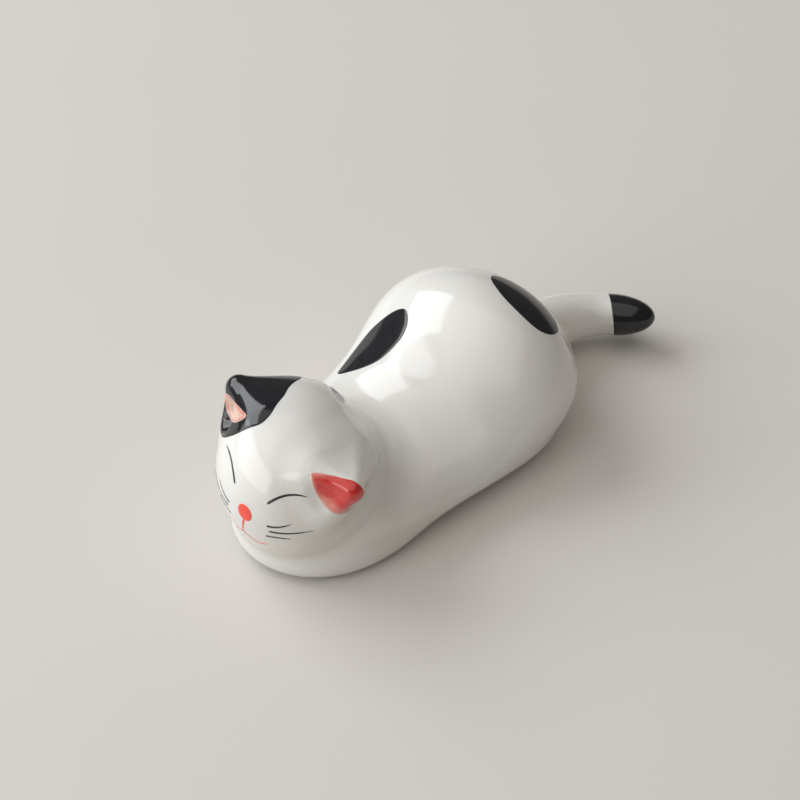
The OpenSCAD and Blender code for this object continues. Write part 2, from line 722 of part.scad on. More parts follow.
// Oval nose
module nose() {
    spin = nose_spin_share * quarter_turn_angle;
    function ring(share, height) =
        [for (j = [0 : nose_steps - 1])
            let (a = -full_turn_angle * j / nose_steps,
                x = nose_w / 2 * cos(a) * share,
                y = nose_l / 2 * sin(a) * share)
            beside(nose_at_shares, x * cos(spin) - y * sin(spin), y * cos(spin) + x * sin(spin), height)];
    function ring_share(i) = sin(90 * i / (nose_rings + 1));
    color(red_colour)
    ringed(
        beside(nose_at_shares, 0, 0, enamel_gap + patch_t),
        concat(
            [for (i = [1 : nose_rings + 1])
                ring(ring_share(i), enamel_height((1 - ring_share(i)) * nose_w / 2, patch_t))],
            [for (i = [0 : nose_rings]) ring(ring_share(nose_rings + 1 - i), enamel_gap)]),
        beside(nose_at_shares, 0, 0, enamel_gap));
}

// Painted line on the head along a curve of places, tapered to both ends
module line(path_shares, width, side = 1) {
    angles = [for (i = [0 : line_stations])
        let (at = curve_point(path_shares, i / line_stations) * quarter_turn_angle) [at[0] * side, at[1]]];
    rings = [for (i = [1 : line_stations - 1])
        let (at = angles[i],
            heading = unit(head_point(angles[i + 1]) - head_point(angles[i - 1])),
            low = head_point(at, enamel_gap),
            high = head_point(at, enamel_gap + line_t),
            shoulder = mix(low, high, line_shoulder_shares[1]),
            normal = unit(high - low),
            sideways = cross(heading, normal) * width / 2 * sqrt(sin(180 * i / line_stations)))
        [
            low - sideways,
            shoulder - sideways * line_shoulder_shares[0],
            high,
            shoulder + sideways * line_shoulder_shares[0],
            low + sideways
        ]];
    ringed(
        head_point(angles[0], enamel_gap + line_t / 2),
        rings,
        head_point(last(angles), enamel_gap + line_t / 2));
}

// Mouth: a stem below the nose and a curve to each side
module mouth() {
    color(red_colour)
    for (path_shares = [mouth_stem_shares, mouth_left_shares, mouth_right_shares])
        line(path_shares, mouth_line_w);
}

module left_eye() {
    color(dark_colour)
    line(eye_shares, eye_line_w);
}

module right_eye() {
    color(dark_colour)
    line(eye_shares, eye_line_w, -1);
}

// Three whiskers on one cheek
module whiskers(side) {
    color(dark_colour)
    for (path_shares = whisker_shares)
        line(path_shares, whisker_line_w, side);
}

module left_whiskers() {
    whiskers(1);
}

module right_whiskers() {
    whiskers(-1);
}

torso();
foot();
head();
left_ear();
right_ear();
tail();
tail_tip();
back_patch();
rump_patch();
ear_patch();
left_ear_inner();
right_ear_inner();
nose();
mouth();
left_eye();
right_eye();
left_whiskers();
right_whiskers();
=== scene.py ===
# Looks of a chopstick rest in the form of a lying cat: glazed porcelain with painted enamels.
import math

import bpy
import numpy as np
from mathutils import Matrix, Vector


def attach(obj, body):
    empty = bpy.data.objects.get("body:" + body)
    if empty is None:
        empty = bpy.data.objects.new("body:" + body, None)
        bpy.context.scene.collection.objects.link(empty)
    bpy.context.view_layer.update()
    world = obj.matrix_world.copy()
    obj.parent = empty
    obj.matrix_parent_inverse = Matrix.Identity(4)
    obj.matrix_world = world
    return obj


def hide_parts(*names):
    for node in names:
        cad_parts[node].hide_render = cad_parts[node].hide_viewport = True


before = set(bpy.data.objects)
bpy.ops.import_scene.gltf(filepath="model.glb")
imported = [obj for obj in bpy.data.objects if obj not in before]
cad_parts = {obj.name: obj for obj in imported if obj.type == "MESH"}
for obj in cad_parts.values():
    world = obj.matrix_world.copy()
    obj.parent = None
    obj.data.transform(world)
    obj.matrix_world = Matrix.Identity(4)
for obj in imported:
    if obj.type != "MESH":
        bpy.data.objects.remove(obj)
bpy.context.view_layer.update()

MM = 0.001
UP = np.array((0, 0, 1))

# Middles and sizes of the roundings of torso and head, in millimetres, as in the CAD model
HAUNCH_AT, HAUNCH_SIZE = (0, 14, 9.2), (26, 19.2, 19.2)
LOIN_AT, LOIN_SIZE = (0, 2, 4.2), (25.6, 35.6, 9.4)
FORE_AT, FORE_SIZE = (0, -14.8, 3.1), (17.4, 18, 7.2)
HEAD_AT, HEAD_SIZE = (0, -15.2, 10.4), (20.6, 21, 19.4)
HEAD_YAW, HEAD_ROLL = 3, 3.5
FOOT_H = 0.4

# Middle, size, turn and lean of the rounding that shows as the head; the ears and the paint are set out
# on the one above
HEAD_FORM_AT, HEAD_FORM_SIZE = (-1.1, -15.7, 10.25), (18.4, 20.6, 20)
HEAD_FORM_YAW, HEAD_FORM_ROLL = 37, -12

# Inner, outer and back corner and tip of each ear, as angles round and up from the middle of the face
LEFT_EAR_AT = ((50, 44), (59, 19), (106, 42), (71, 32))
RIGHT_EAR_AT = ((-59, 52), (-79, 17), (-126, 48), (-86, 36.5))
# Heights of the tips over the head's rounding, and the roundness and depth of the corners
LEFT_EAR_H, RIGHT_EAR_H = 1.4, 2.0
EAR_ROUND, EAR_SINK = 1.5, 1.3
EAR_BACK_ROUND, EAR_BACK_SINK = 3, 3.7
# Distance from a tip past which an ear changes nothing
EAR_REACH = 12

# Hollow in the front of each ear: radius of the ball that presses it in, its depth and its share of
# the way from the front's base to its tip, and how soft its rim is
LEFT_CUP, RIGHT_CUP = (4, 0.3, 0.55), (2.2, 0.6, 0.45)
CUP_BLEND = 0.5

# Tail: diameters, lifts of its underside over the table, and the run and bend of its axis, which is
# measured from the haunch's middle
TAIL_ROOT_D, TAIL_TIP_D, TAIL_END_L = 8.8, 5.2, 5.4
TAIL_ROOT_LIFT, TAIL_TIP_LIFT = 0.3, 1.5
TAIL_RUN, TAIL_BEND_R, TAIL_TURN = 12, 11.5, 54
TAIL_START = HAUNCH_SIZE[1] / 2
TAIL_L = TAIL_RUN + TAIL_BEND_R * math.radians(TAIL_TURN)
# Length over which the taper runs out
TAIL_EASE_L = 3
# Length of the black end, and how far its edge leans and to which side, in degrees
TAIL_DARK_L = 5.6
TAIL_DARK_LEAN, TAIL_DARK_LEAN_AT = 12, 155

# Lengths over which the clay pieces flow into each other
BODY_BLEND = 10
CHIN_BLEND, NAPE_BLEND = 1.6, 5
CHIN_Y, NAPE_Y = -22, -12
TAIL_BLEND = 2.5
EAR_BLEND = 2.8
FOOT_BLEND = 0.8

# Edge length of the cells that the glazed skin is made on, the box that holds it, and how often it is evened
CELL = 0.36
SKIN_LOW, SKIN_HIGH = (-16, -28, -0.5), (16, 42.5, 22)
RELAX_ROUNDS = 3

# Step that slopes are measured over, rounds that bring a point onto the skin, and how far a ray is
# followed and how often that length is halved
SLOPE_STEP, LANDING_ROUNDS = 0.01, 2
CAST_REACH, CAST_ROUNDS = 30.0, 34

# Enamel: height over the glaze, depths under it at its rim and inside, and width of its rounded edge
ENAMEL_H, ENAMEL_SINK, ENAMEL_EDGE = 0.04, 0.06, 0.16
ENAMEL_UNDER = ENAMEL_SINK * 1.02
LINE_H, NOSE_H = 0.03, 0.07


# Distances in millimetres, negative inside

def mix(a, b, share):
    return a + (b - a) * share


def unit(v):
    return v / np.linalg.norm(v, axis=-1, keepdims=True)


def smooth_min(a, b, k):
    return np.minimum(a, b) - np.maximum(k - abs(a - b), 0) ** 2 / (4 * k)


def smooth_max(a, b, k):
    return -smooth_min(-a, -b, k)


def ellipsoid_gap(p, at, size):
    half = np.array(size) / 2
    q = (p - np.array(at)) / half
    a = np.linalg.norm(q, axis=-1)
    b = np.linalg.norm(q / half, axis=-1)
    return np.where(b > 0, a * (a - 1) / np.maximum(b, 1e-9), -half.min())


def torso_gap(p):
    back = smooth_min(
        ellipsoid_gap(p, HAUNCH_AT, HAUNCH_SIZE), ellipsoid_gap(p, LOIN_AT, LOIN_SIZE), BODY_BLEND
    )
    return smooth_min(back, ellipsoid_gap(p, FORE_AT, FORE_SIZE), BODY_BLEND)


def turned_frame(roll, yaw):
    """Axes of a frame as the rows of a matrix, after a lean and a turn in degrees."""
    c, s = math.cos(math.radians(roll)), math.sin(math.radians(roll))
    lean = np.array([[c, 0, s], [0, 1, 0], [-s, 0, c]])
    c, s = math.cos(math.radians(yaw)), math.sin(math.radians(yaw))
    turn = np.array([[c, -s, 0], [s, c, 0], [0, 0, 1]])
    return (turn @ lean).T


HEAD_AXES = turned_frame(HEAD_ROLL, HEAD_YAW)
HEAD_FORM_AXES = turned_frame(HEAD_FORM_ROLL, HEAD_FORM_YAW)


def head_gap(p):
    return ellipsoid_gap((p - np.array(HEAD_FORM_AT)) @ HEAD_FORM_AXES.T, (0, 0, 0), HEAD_FORM_SIZE)


def aim(round_angle, up_angle):
    """Direction at an angle round from -Y towards +X and an angle up."""
    a, b = np.radians(round_angle), np.radians(up_angle)
    return np.stack([np.cos(b) * np.sin(a), -np.cos(b) * np.cos(a), np.sin(b)], -1)


def head_point(round_angle, up_angle, height=0):
    """Point over the head's own rounding, in the head's turned frame."""
    half = np.array(HEAD_SIZE) / 2
    v = aim(round_angle, up_angle)
    return np.array(HEAD_AT) + (v * half + unit(v / half) * height) @ HEAD_AXES


def tail_share(s):
    return (s - TAIL_START) / (TAIL_L - TAIL_START)


def tail_r(s):
    """Radius of the tail, whose taper runs out before its round end."""
    taper = (TAIL_ROOT_D - TAIL_TIP_D) / 2 / (TAIL_L - TAIL_START)
    left = TAIL_L - s
    eased = np.where(left < TAIL_EASE_L, left ** 2 / (2 * TAIL_EASE_L), left - TAIL_EASE_L / 2)
    return TAIL_TIP_D / 2 + taper * eased


def tail_axis(s):
    """Point of the tail's axis at a distance along it from the haunch's middle."""
    turned = np.maximum(s - TAIL_RUN, 0) / TAIL_BEND_R
    return np.stack([
        TAIL_BEND_R * (1 - np.cos(turned)),
        HAUNCH_AT[1] + np.minimum(s, TAIL_RUN) + TAIL_BEND_R * np.sin(turned),
        tail_r(s) + mix(TAIL_ROOT_LIFT, TAIL_TIP_LIFT, tail_share(s)),
    ], -1)


def tail_heading(s):
    turned = np.maximum(s - TAIL_RUN, 0) / TAIL_BEND_R
    return np.stack([np.sin(turned), np.cos(turned), 0 * turned], -1)


def tail_place(p):
    """Distance along the tail's axis of the place nearest to each point."""
    x = TAIL_BEND_R - p[..., 0]
    y = p[..., 1] - HAUNCH_AT[1] - TAIL_RUN
    turned = np.clip(np.arctan2(y, x), 0, math.radians(TAIL_TURN))
    return np.where(y < 0, np.maximum(y + TAIL_RUN, TAIL_START / 2), TAIL_RUN + TAIL_BEND_R * turned)


def tail_gap(p):
    """Distance from the tail, with its end drawn out to an egg's end."""
    s = tail_place(p)
    q = p - tail_axis(s)
    beyond = np.maximum((q * tail_heading(s)).sum(-1), 0)
    aside = np.sqrt(np.maximum((q ** 2).sum(-1) - beyond ** 2, 1e-12))
    a = np.hypot(beyond / TAIL_END_L, aside / tail_r(s))
    b = np.hypot(beyond / TAIL_END_L ** 2, aside / tail_r(s) ** 2)
    return a * (a - 1) / b


def ear_corners(ear_at, ear_h):
    heights = (-EAR_SINK, -EAR_SINK, -EAR_BACK_SINK, ear_h)
    return [head_point(*angles, height) for angles, height in zip(ear_at, heights)]


EARS = {
    "left_ear": ear_corners(LEFT_EAR_AT, LEFT_EAR_H),
    "right_ear": ear_corners(RIGHT_EAR_AT, RIGHT_EAR_H),
}
CUPS = {"left_ear": LEFT_CUP, "right_ear": RIGHT_CUP}


def segment_gap(p, a, b):
    share = np.clip((p - a) @ (b - a) / ((b - a) @ (b - a)), 0, 1)
    return np.linalg.norm(p - (a + share[..., None] * (b - a)), axis=-1)


def triangle_gap(p, a, b, c):
    n = unit(np.cross(b - a, c - a))
    over = np.ones(p.shape[:-1], bool)
    for u, v in ((a, b), (b, c), (c, a)):
        over &= (p - u) @ np.cross(n, v - u) > 0
    edges = np.minimum(np.minimum(segment_gap(p, a, b), segment_gap(p, b, c)), segment_gap(p, c, a))
    return np.where(over, abs((p - a) @ n), edges)


def ear_gap(p, corners):
    """Distance from a rounded three-sided ear."""
    a, b, c, tip = corners
    inside = np.ones(p.shape[:-1], bool)
    for (u, v, w), other in (((tip, a, b), c), ((tip, b, c), a), ((tip, c, a), b), ((a, b, c), tip)):
        n = np.cross(v - u, w - u)
        inside &= ((p - u) @ n) * ((other - u) @ n) >= 0
    faces = np.minimum(
        np.minimum(triangle_gap(p, tip, a, b), triangle_gap(p, tip, b, c)), triangle_gap(p, tip, c, a)
    )
    back_share = np.clip((p - tip) @ (c - tip) / ((c - tip) @ (c - tip)), 0, 1)
    return np.where(inside, -faces, faces) - mix(EAR_ROUND, EAR_BACK_ROUND, back_share)


def cup_gap(p, corners, cup):
    """Distance from the ball that presses the hollow into the front of an ear."""
    a, b, c, tip = corners
    ball_r, depth, tip_share = cup
    n = unit(np.cross(b - a, tip - a))
    n = n if (c - a) @ n < 0 else -n
    middle = mix((a + b) / 2, tip, tip_share) + n * (EAR_ROUND + ball_r - depth)
    return np.linalg.norm(p - middle, axis=-1) - ball_r


def nape_share(p):
    """Share of the way from the chin, where head and body meet in a tight crease, to the soft nape."""
    share = np.clip((p[..., 1] - CHIN_Y) / (NAPE_Y - CHIN_Y), 0, 1)
    return share * share * (3 - 2 * share)


def skin_gap(p):
    """Distance from the glazed surface of the whole cat."""
    p = np.asarray(p, float)
    flat = p.reshape(-1, 3)
    gap = smooth_min(torso_gap(flat), tail_gap(flat), TAIL_BLEND)
    gap = smooth_min(gap, head_gap(flat), mix(CHIN_BLEND, NAPE_BLEND, nape_share(flat)))
    for ear, corners in EARS.items():
        near = np.linalg.norm(flat - corners[3], axis=-1) < EAR_REACH
        if near.any():
            q = flat[near]
            eared = smooth_min(gap[near], ear_gap(q, corners), EAR_BLEND)
            gap[near] = smooth_max(eared, -cup_gap(q, corners, CUPS[ear]), CUP_BLEND)
    return smooth_max(gap, FOOT_H - flat[:, 2], FOOT_BLEND).reshape(p.shape[:-1])


def slope(p):
    """Change of the distance from the glazed surface along x, y and z."""
    steps = np.eye(3) * SLOPE_STEP
    return np.stack([(skin_gap(p + d) - skin_gap(p - d)) / (2 * SLOPE_STEP) for d in steps], -1)


def onto_skin(p):
    """Points moved to the nearest place of the glazed surface."""
    for _ in range(LANDING_ROUNDS):
        g = slope(p)
        p = p - g * (skin_gap(p) / (g ** 2).sum(-1))[:, None]
    return p


def cast(start, directions, offset=0.0):
    """Points where rays from inside the cat pass through the surface at an offset over the glaze."""
    directions = unit(directions)
    low = np.zeros(directions.shape[:-1])
    high = np.full(directions.shape[:-1], CAST_REACH)
    for _ in range(CAST_ROUNDS):
        middle = (low + high) / 2
        out = skin_gap(start + directions * middle[..., None]) > offset
        high = np.where(out, middle, high)
        low = np.where(out, low, middle)
    return start + directions * middle[..., None]


# Making of meshes

def surface_net(gap, low, high, cell):
    """Points and four-sided faces of the surface at which gap is zero, in a box of cells."""
    axes = [np.arange(a, b + cell, cell) for a, b in zip(low, high)]
    grid = np.stack(np.meshgrid(*axes, indexing="ij"), -1)
    value = np.concatenate([gap(layer)[None] for layer in grid])
    inside = value < 0
    cells = tuple(n - 1 for n in value.shape)
    total, hits = np.zeros(cells + (3,)), np.zeros(cells)
    crossings = []
    for axis in range(3):
        others = [i for i in range(3) if i != axis]
        first, second = [slice(None)] * 3, [slice(None)] * 3
        first[axis], second[axis] = slice(0, -1), slice(1, None)
        a, b = value[tuple(first)], value[tuple(second)]
        crossed = (a < 0) != (b < 0)
        share = np.where(crossed, a / np.where(crossed, a - b, 1), 0)
        place = grid[tuple(first)].copy()
        place[..., axis] += share * cell
        place *= crossed[..., None]
        for near in (0, 1):
            for far in (0, 1):
                part = [slice(None)] * 3
                part[others[0]] = slice(near, near + cells[others[0]])
                part[others[1]] = slice(far, far + cells[others[1]])
                total += place[tuple(part)]
                hits += crossed[tuple(part)]
        crossings.append((axis, others, np.argwhere(crossed), inside[tuple(first)]))
    active = hits > 0
    number = np.full(cells, -1)
    number[active] = np.arange(active.sum())
    points = total[active] / hits[active][:, None]
    faces = []
    for axis, others, edges, starts_inside in crossings:
        rows = []
        for near, far in ((1, 1), (0, 1), (0, 0), (1, 0)):
            at = edges.copy()
            at[:, others[0]] -= near
            at[:, others[1]] -= far
            rows.append(number[tuple(at.T)])
        quads = np.stack(rows, -1)
        turned = starts_inside[tuple(edges.T)] == (axis == 1)
        quads[turned] = quads[turned][:, ::-1]
        faces.append(quads)
    return points, np.concatenate(faces)


def sides_of(faces):
    """The four sides of every face, as pairs of points the way that the face runs."""
    return np.concatenate([faces[:, [i, (i + 1) % 4]] for i in range(4)])


def relaxed(points, faces, rounds):
    """Points drawn towards the middle of their neighbours, and back onto the glazed surface."""
    sides = sides_of(faces)
    ends = np.concatenate([sides, sides[:, ::-1]])
    count = np.bincount(ends[:, 0], minlength=len(points))[:, None]
    for _ in range(rounds):
        neighbours = points[ends[:, 1]]
        sums = np.stack([np.bincount(ends[:, 0], neighbours[:, i], len(points)) for i in range(3)], -1)
        points = onto_skin(mix(points, sums / count, 0.5))
    return points


def piece(name, points, faces, material, slot, *nodes, normals=None, attributes=None):
    """Mesh piece in the row frame, from points in millimetres, that stands for CAD nodes."""
    mesh = bpy.data.meshes.new(name)
    mesh.from_pydata((np.asarray(points) * MM).tolist(), [], [list(map(int, f)) for f in faces])
    mesh.polygons.foreach_set("use_smooth", [True] * len(mesh.polygons))
    for key, values in (attributes or {}).items():
        attribute = mesh.attributes.new(key, "FLOAT", "POINT")
        attribute.data.foreach_set("value", np.asarray(values, np.float32))
    mesh.materials.append(material)
    mesh.update()
    if normals is not None:
        mesh.normals_split_custom_set_from_vertices(normals.tolist())
    made = bpy.data.objects.new(name, mesh)
    bpy.context.scene.collection.objects.link(made)
    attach(made, "root")
    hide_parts(*nodes)
    return made


# Materials

# Colours as linear red, green and blue
GLAZE_WHITE, GLAZE_CREAM = (0.775, 0.765, 0.74), (0.745, 0.72, 0.675)
# GLAZE_SHADE is painted shade, with a little pooled glaze, for the crease round the head
GLAZE_SHADE = (0.50, 0.43, 0.36)
SPECK = (0.30, 0.25, 0.20)
BLACK, BLACK_PALE = (0.010, 0.010, 0.012), (0.022, 0.022, 0.0264)
# RED, the full colour, stands for thick enamel and, at the ear's tip, partly for painted shade
RED, RED_PALE = (0.58, 0.024, 0.020), (0.70, 0.23, 0.18)
PINK, PINK_PALE = (0.64, 0.28, 0.21), (0.72, 0.49, 0.40)
RED_LINE, RED_LINE_PALE = (0.90, 0.050, 0.024), (0.92, 0.07, 0.03)
BLACK_LINE_PALE = (0.03, 0.03, 0.035)
CLAY = (0.62, 0.52, 0.42)

# Waves of each pattern to a metre
TINT_WAVES, SPECK_WAVES, SPECK_CELLS = 55, 140, 260
GLOSS_WAVES, GLOSS_RIPPLES = 260, 900
GLAZE_WAVES, BLACK_WAVES, BRUSH_WAVES, LINE_WAVES, CLAY_WAVES = 300, 500, 900, 1600, 3000

# Depths of the bumps and reach of the light inside the glaze, in metres
GLOSS_BUMP, LINE_BUMP, CLAY_BUMP = 0.000012, 0.000008, 0.00005
GLAZE_SCATTER = (0.0022, 0.0018, 0.0014)

# Range that a noise seldom leaves, and its narrower middle
NOISE_LOW, NOISE_HIGH = 0.3, 0.7
TINT_LOW, TINT_HIGH = 0.35, 0.65


def linked(tree, kind, inputs=None, **settings):
    """New shader node with its inputs set to values or linked to the sockets given."""
    node = tree.nodes.new(kind)
    for key, value in settings.items():
        setattr(node, key, value)
    for key, value in (inputs or {}).items():
        if isinstance(value, bpy.types.NodeSocket):
            tree.links.new(value, node.inputs[key])
        else:
            node.inputs[key].default_value = value
    return node


def new_material(name, roughness, coat, subsurface=0.0):
    """Material with a gloss coat, and its tree and main shader."""
    made = bpy.data.materials.new(name)
    made.use_nodes = True
    shader = made.node_tree.nodes["Principled BSDF"]
    shader.inputs["Roughness"].default_value = roughness
    shader.inputs["IOR"].default_value = 1.5
    shader.inputs["Coat Weight"].default_value = coat
    shader.inputs["Coat Roughness"].default_value = 0.03
    shader.inputs["Subsurface Weight"].default_value = subsurface
    shader.inputs["Subsurface Radius"].default_value = GLAZE_SCATTER
    shader.inputs["Subsurface Scale"].default_value = 1.0
    return made, made.node_tree, shader


def place_of(tree):
    return tree.nodes.new("ShaderNodeTexCoord").outputs["Object"]


def attribute(tree, name):
    return linked(tree, "ShaderNodeAttribute", attribute_name=name).outputs["Fac"]


def noise(tree, place, per_metre, detail=3.0):
    return linked(
        tree, "ShaderNodeTexNoise", {"Vector": place, "Scale": per_metre, "Detail": detail}
    ).outputs["Fac"]


def ramp(tree, value, low, high, first, last):
    """Value from first to last as the input goes from low to high."""
    return linked(
        tree, "ShaderNodeMapRange",
        {"Value": value, "From Min": low, "From Max": high, "To Min": first, "To Max": last},
    ).outputs["Result"]


def maths(tree, operation, first, second):
    return linked(tree, "ShaderNodeMath", {0: first, 1: second}, operation=operation).outputs[0]


def blended(tree, share, first, second):
    """Colour between two colours or sockets."""
    inputs = {"Factor": share, "A": first, "B": second}
    return linked(tree, "ShaderNodeMix", inputs, data_type="RGBA").outputs["Result"]


def mix_values(tree, first, second, share):
    inputs = {"Factor": share, "A": first, "B": second}
    return linked(tree, "ShaderNodeMix", inputs, data_type="FLOAT").outputs["Result"]


def rgba(colour):
    return (*colour, 1.0)


def between(tree, share, first, second):
    """Colour between two plain colours."""
    return blended(tree, share, rgba(first), rgba(second))


def glaze_colour(tree, place):
    """Warm white with slow changes towards cream and a few fine specks."""
    slow = ramp(tree, noise(tree, place, TINT_WAVES, 2.0), TINT_LOW, TINT_HIGH, 0.0, 1.0)
    white = between(tree, slow, GLAZE_WHITE, GLAZE_CREAM)
    cells = linked(tree, "ShaderNodeTexVoronoi", {"Vector": place, "Scale": SPECK_CELLS})
    dot = ramp(tree, cells.outputs["Distance"], 0.025, 0.045, 1.0, 0.0)
    rare = ramp(tree, noise(tree, place, SPECK_WAVES, 1.0), 0.60, 0.64, 0.0, 0.55)
    return blended(tree, maths(tree, "MULTIPLY", dot, rare), white, rgba(SPECK))


def gloss_wave(tree, place, shader, depth):
    """Slow and fine waves of a fired glaze."""
    slow = noise(tree, place, GLOSS_WAVES, 1.0)
    fine = noise(tree, place, GLOSS_RIPPLES, 1.0)
    waves = mix_values(tree, slow, fine, 0.1)
    bump = linked(tree, "ShaderNodeBump", {"Strength": 1.0, "Distance": depth, "Height": waves})
    tree.links.new(bump.outputs["Normal"], shader.inputs["Normal"])
    tree.links.new(bump.outputs["Normal"], shader.inputs["Coat Normal"])


def glaze_material():
    made, tree, shader = new_material("glaze", 0.12, 0.1, subsurface=0.12)
    place = place_of(tree)
    # Painted shade, with a little pooled glaze, darkens the glaze towards GLAZE_SHADE in the crease round the
    # head
    colour = blended(tree, attribute(tree, "crease"), glaze_colour(tree, place), rgba(GLAZE_SHADE))
    dullness = ramp(tree, noise(tree, place, GLAZE_WAVES), NOISE_LOW, NOISE_HIGH, 0.09, 0.15)
    tree.links.new(colour, shader.inputs["Base Color"])
    tree.links.new(dullness, shader.inputs["Roughness"])
    gloss_wave(tree, place, shader, GLOSS_BUMP)
    return made


def black_material():
    made, tree, shader = new_material("black_enamel", 0.1, 0.0)
    place = place_of(tree)
    colour = between(tree, noise(tree, place, BLACK_WAVES), BLACK, BLACK_PALE)
    dullness = ramp(tree, noise(tree, place, BRUSH_WAVES), NOISE_LOW, NOISE_HIGH, 0.08, 0.14)
    tree.links.new(colour, shader.inputs["Base Color"])
    tree.links.new(dullness, shader.inputs["Roughness"])
    gloss_wave(tree, place, shader, GLOSS_BUMP)
    return made


def covered_material(name, thin, thick):
    """Enamel that goes from the glaze through a thin colour to its full colour, by how well it covers; on the
    red ear the full colour at the tip is also painted shade.
    """
    made, tree, shader = new_material(name, 0.2, 0.7)
    place = place_of(tree)
    cover_and_shade = attribute(tree, "cover_and_shade")
    brush = ramp(tree, noise(tree, place, BRUSH_WAVES), NOISE_LOW, NOISE_HIGH, -0.08, 0.08)
    full = ramp(tree, maths(tree, "ADD", cover_and_shade, brush), 0.45, 1.0, 0.0, 1.0)
    inner = between(tree, full, thin, thick)
    colour = blended(tree, ramp(tree, cover_and_shade, 0.02, 0.3, 0.0, 1.0), glaze_colour(tree, place), inner)
    tree.links.new(colour, shader.inputs["Base Color"])
    gloss_wave(tree, place, shader, GLOSS_BUMP)
    return made


def line_material(name, colour, lighter):
    made, tree, shader = new_material(name, 0.2, 0.6)
    place = place_of(tree)
    painted = between(tree, noise(tree, place, LINE_WAVES), colour, lighter)
    tree.links.new(painted, shader.inputs["Base Color"])
    gloss_wave(tree, place, shader, LINE_BUMP)
    return made


def clay_material():
    made, tree, shader = new_material("bisque", 0.85, 0.0)
    grain = noise(tree, place_of(tree), CLAY_WAVES, 4.0)
    colour = between(tree, grain, CLAY, tuple(c * 0.8 for c in CLAY))
    bump = linked(tree, "ShaderNodeBump", {"Strength": 0.4, "Distance": CLAY_BUMP, "Height": grain})
    tree.links.new(colour, shader.inputs["Base Color"])
    tree.links.new(bump.outputs["Normal"], shader.inputs["Normal"])
    return made


glaze = glaze_material()
black = black_material()
red_ear = covered_material("red_enamel", RED_PALE, RED)
pink_ear = covered_material("pink_enamel", PINK, PINK_PALE)
red_line = line_material("red_line", RED_LINE, RED_LINE_PALE)
black_line = line_material("black_line", BLACK, BLACK_LINE_PALE)
bisque = clay_material()


# Clay pieces: one glazed skin, split where the pieces were joined

CLAY_PIECES = ("torso", "head", "left_ear", "right_ear", "tail")
# How dark the painted shade, with a little pooled glaze, makes the glaze in the crease round the head, at the
# chin and at the nape
CHIN_SHADE, NAPE_SHADE = 0.35, 0.1


def owners(p):
    """Number of the clay piece whose own form is nearest to each point."""
    ears = [ear_gap(p, EARS[ear]) for ear in ("left_ear", "right_ear")]
    return np.argmin([torso_gap(p), head_gap(p), *ears, tail_gap(p)], 0)


def seam_rims(faces, owner):
    """Sides along which one piece meets another, by the numbers of the two pieces."""
    sides = sides_of(faces)
    face_of = np.tile(np.arange(len(faces)), 4)
    low, high = np.sort(sides, 1).T
    order = np.lexsort((low, high))
    sides, face_of = sides[order], face_of[order]
    first, second = owner[face_of[0::2]], owner[face_of[1::2]]
    seam = first != second
    rims = {}
    for side, a, b in zip(sides[0::2][seam], first[seam], second[seam]):
        rims.setdefault((a, b), []).append(side)
        rims.setdefault((b, a), []).append(side[::-1])
    return rims


def closing_fans(index, points, rims):
    """Middles and faces that close a piece inside the cat, over each rim that it shares with another."""
    middles, fans = [], []
    for (a, _), rim in sorted(rims.items()):
        if a == index:
            number = len(points) + len(middles)
            middles.append(points[np.unique(rim)].mean(0))
            fans += [[side[1], side[0], number] for side in rim]
    return np.array(middles).reshape(-1, 3), fans


def clay_pieces():
    points, faces = surface_net(skin_gap, SKIN_LOW, SKIN_HIGH, CELL)
    points = relaxed(points, faces, RELAX_ROUNDS)
    normals = unit(slope(points))
    owner = owners(points[faces].mean(1))
    rims = seam_rims(faces, owner)
    # Painted shade, with a little pooled glaze, in the crease where head and torso meet
    seat = abs(head_gap(points) - torso_gap(points))
    crease = np.clip(1 - seat / CHIN_BLEND, 0, 1) ** 2 * mix(CHIN_SHADE, NAPE_SHADE, nape_share(points))
    for index, name in enumerate(CLAY_PIECES):
        middles, fans = closing_fans(index, points, rims)
        own = faces[owner == index].tolist() + fans
        used = np.unique(np.concatenate(own))
        renumber = np.full(len(points) + len(middles), -1)
        renumber[used] = np.arange(len(used))
        every_point = np.concatenate([points, middles])
        every_normal = np.concatenate([normals, np.tile(UP, (len(middles), 1))])
        every_crease = np.concatenate([crease, np.zeros(len(middles))])
        material, slot = (black, "black_enamel") if name == "right_ear" else (glaze, "glaze")
        piece(
            "glazed_" + name, every_point[used], [renumber[face] for face in own], material, slot, name,
            normals=every_normal[used], attributes={"crease": every_crease[used]},
        )


clay_pieces()
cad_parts["foot"].data.materials.clear()
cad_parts["foot"].data.materials.append(bisque)


# Enamels

# Places of the last rings of points before an enamel's rim: on a patch as shares of its rounded edge,
# on a dome as shares of about one step between its rings
PATCH_EDGE_SHARES = (1, 0.6, 0.3, 0.12, 0.03)
TAIL_EDGE_SHARES = (0.6, 0.3, 0.1, 0.02, 0)
EAR_EDGE_SHARES = (0.6, 0.3, 0.12, 0.03, 0)
PATCH_STEPS, TAIL_STEPS, EAR_STEPS, NOSE_STEPS = 128, 96, 160, 64
TAIL_RINGS, EAR_RINGS = 40, 64
TORSO_SPACING, NOSE_SPACING, EAR_SPACING = 0.35, 0.2, 0.15


def ringed_faces(rings, steps):
    """Faces of a closed solid with a pole, rings of points and another pole."""
    turn = [(j, (j + 1) % steps) for j in range(steps)]
    faces = [(0, 1 + j, 1 + k) for j, k in turn]
    for i in range(rings - 1):
        a = 1 + i * steps
        faces += [(a + j, a + steps + j, a + steps + k, a + k) for j, k in turn]
    base, last = 1 + (rings - 1) * steps, 1 + rings * steps
    return faces + [(base + j, last, base + k) for j, k in turn]


